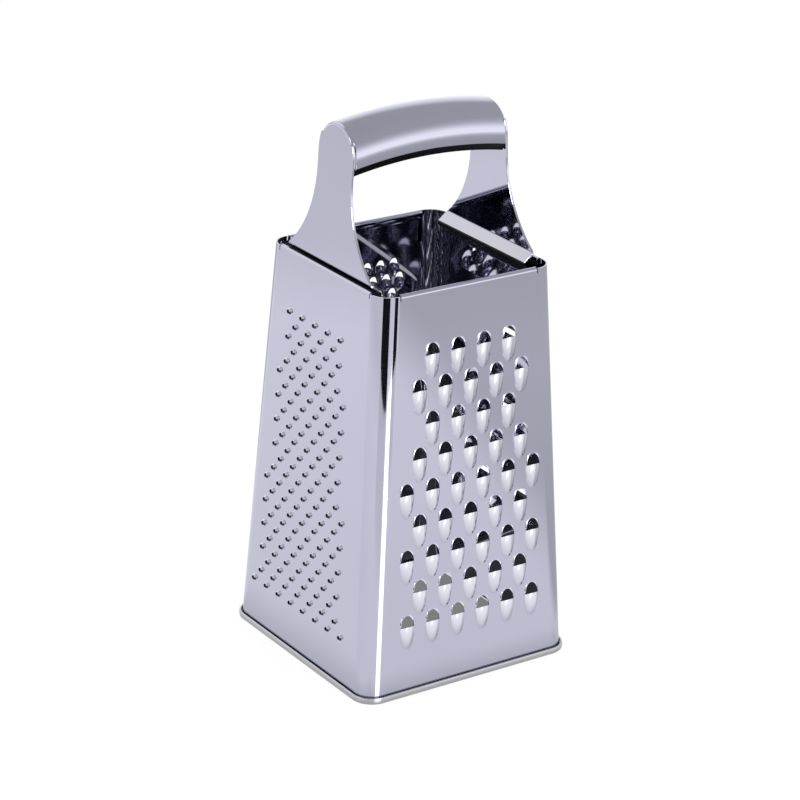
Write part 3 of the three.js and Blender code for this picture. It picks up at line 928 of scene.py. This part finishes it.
# The leg's flat face: from the turned end down its straight sides and out along the flares.
widening = FOOT_HALF - LEG_HALF
flare_height = FLARE_TOP - FOOT_TOP
flare_radius = (flare_height**2 + widening**2) / (2 * widening)
leg_side = []
free_steps = CROWN_STEPS // 2 - SLIT_START
for n in (LEG_EDGE_START, *range(1, free_steps + 1)):
    angle = pi * (SLIT_START + n) / CROWN_STEPS
    radius = LEG_HALF + LEG_EDGE_EXTRA * (1 - n / free_steps) ** 2
    leg_side.append((radius * sin(angle), end_height + radius * cos(angle)))
leg_side.append((LEG_HALF, FLARE_TOP))
for n in range(1, FLARE_STEPS + 1):
    drop = flare_height * n / FLARE_STEPS
    leg_side.append((LEG_HALF + flare_radius - sqrt(flare_radius**2 - drop**2), FLARE_TOP - drop))
arc.sort(key=lambda point: -atan2(point.y, point.z - end_height + 10 * mm))
leg_points = [Vector((leg_x(z), y, z)) for y, z in reversed(leg_side)]
leg_points += arc
leg_points += [Vector((leg_x(z), -y, z)) for y, z in leg_side]
leg = outline("leg", leg_points)
bpy.ops.object.mode_set(mode="EDIT")
bpy.ops.mesh.select_all(action="SELECT")
bpy.ops.mesh.edge_face_add()

# The foot: the leg's lower edge is folded in over the mouth, back to the wall and down it.
tab_inset = SHEET + SEAT_GAP + HANDLE_SHEET / 2
toe = Vector((leg_foot.x - FOOT_REACH, 0, FOOT_TOP - FOOT_FALL))
tab_top_z = toe.z - (wall_half(toe.z) - tab_inset - toe.x)
tab_bottom_z = tab_top_z - TAB_HEIGHT
folds = [
    leg_foot,
    toe,
    Vector((wall_half(tab_top_z) - tab_inset, 0, tab_top_z)),
    Vector((wall_half(tab_bottom_z) - tab_inset, 0, tab_bottom_z)),
]
bpy.ops.mesh.select_all(action="DESELECT")
bpy.ops.object.mode_set(mode="OBJECT")
for vertex in leg.data.vertices:
    vertex.select = vertex.co.z < FOOT_TOP + ON_LINE
for edge in leg.data.edges:
    edge.select = all(leg.data.vertices[n].select for n in edge.vertices)
for start, stop in zip(folds, folds[1:]):
    bpy.ops.object.mode_set(mode="EDIT")
    bpy.ops.mesh.select_mode(type="EDGE")
    bpy.ops.mesh.extrude_edges_move()
    bpy.ops.object.mode_set(mode="OBJECT")
    for vertex in leg.data.vertices:
        if vertex.select:
            vertex.co += stop - start
for edge in leg.data.edges:
    ends = [leg.data.vertices[n].co for n in edge.vertices]
    edge.select = any(
        all(hypot(end.x - fold.x, end.z - fold.z) < ON_LINE for end in ends) for fold in folds[:3]
    )
bpy.ops.object.mode_set(mode="EDIT")
bpy.ops.mesh.bevel(offset=FOOT_BEND, segments=4, affect="EDGES")
bpy.ops.object.mode_set(mode="OBJECT")

handle = joined("handle_strap", [handle, leg])
mirror = handle.modifiers.new("other end", "MIRROR")
mirror.use_axis = (True, False, False)
mirror.merge_threshold = WELD
bpy.ops.object.modifier_apply(modifier=mirror.name)
finish_sheet(handle, HANDLE_SHEET, 0)
soften = handle.modifiers.new("deburred edges", "BEVEL")
soften.width = HANDLE_ROUND
soften.segments = 2
soften.limit_method = "ANGLE"
soften.angle_limit = radians(50)
bpy.ops.object.modifier_apply(modifier=soften.name)
bpy.ops.object.shade_smooth_by_angle(angle=SMOOTH_ANGLE)
flatten(handle)
# Painted shade: a near-black steel for the turned edges, the folds' insides, the toes and the feet's
# back ends.
painted_shade_steel = steel(
    "painted shade steel",
    tint=(0.03, 0.03, 0.035), gloss=0.4,
    wave=0.02 * mm, grain=(900, 40, 900), scratch=0.001 * mm,
)
foot_steel = steel(
    "foot steel",
    tint=(0.55, 0.545, 0.615), gloss=0.2,
    wave=0.02 * mm, grain=(2500, 30, 2500), scratch=0.006 * mm,
)
handle_steel = steel(
    "handle steel",
    tint=(0.54, 0.54, 0.66), gloss=0.08,
    wave=0.05 * mm, grain=(900, 40, 900), scratch=0.001 * mm,
)
handle.data.materials.clear()
for material in (handle_steel, painted_shade_steel, foot_steel, polished_steel):
    handle.data.materials.append(material)
strip_slope = (FOOT_TOP - toe.z) / (leg_foot.x - toe.x)
edge_drop = GRIP_HALF + GRIP_SKIRT + GRIP_BEND * sin(GRIP_TURN)

# The turned edges, the folds' shadowed insides, the toes and the feet's back ends get painted
# shade, a near-black steel; the strip of the foot is brushed, and the legs and tabs are polished.
for face in handle.data.polygons:
    x, z = abs(face.center.x), face.center.z
    above_strip = z - toe.z - strip_slope * (x - toe.x)
    past_return = x - toe.x - max(toe.z - z, 0)
    grip_drop = GRIP_ARCH - hypot(x, z - GRIP_TOP + GRIP_ARCH)
    in_fold = above_strip < -0.2 * mm and past_return > 0.2 * mm and x < leg_foot.x + 0.3 * mm
    off_leg = leg_distance(Vector((x, 0, z)))
    on_edge = off_leg < -ON_SHEET and z > FLARE_TOP - 20 * mm and grip_drop > edge_drop
    on_strip = abs(above_strip) < 0.8 * mm and toe.x + ON_SHEET < x < leg_foot.x - 0.5 * mm
    on_toe = x < toe.x + ON_SHEET and toe.z - 1 * mm < z < FOOT_TOP
    on_back_end = face.normal.y > 0.3 and face.center.y > FOOT_HALF - 1 * mm and z < FOOT_TOP
    on_tab = z < toe.z - 0.6 * mm
    on_leg = z > FOOT_TOP and abs(off_leg) < ON_SHEET
    # These faces get painted shade.
    dark = in_fold or on_edge or on_toe or on_back_end
    if dark:
        face.material_index = 1
    elif on_strip:
        face.material_index = 2
    elif on_tab or on_leg:
        face.material_index = 3
    else:
        face.material_index = 0
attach(handle, "root")
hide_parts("handle")
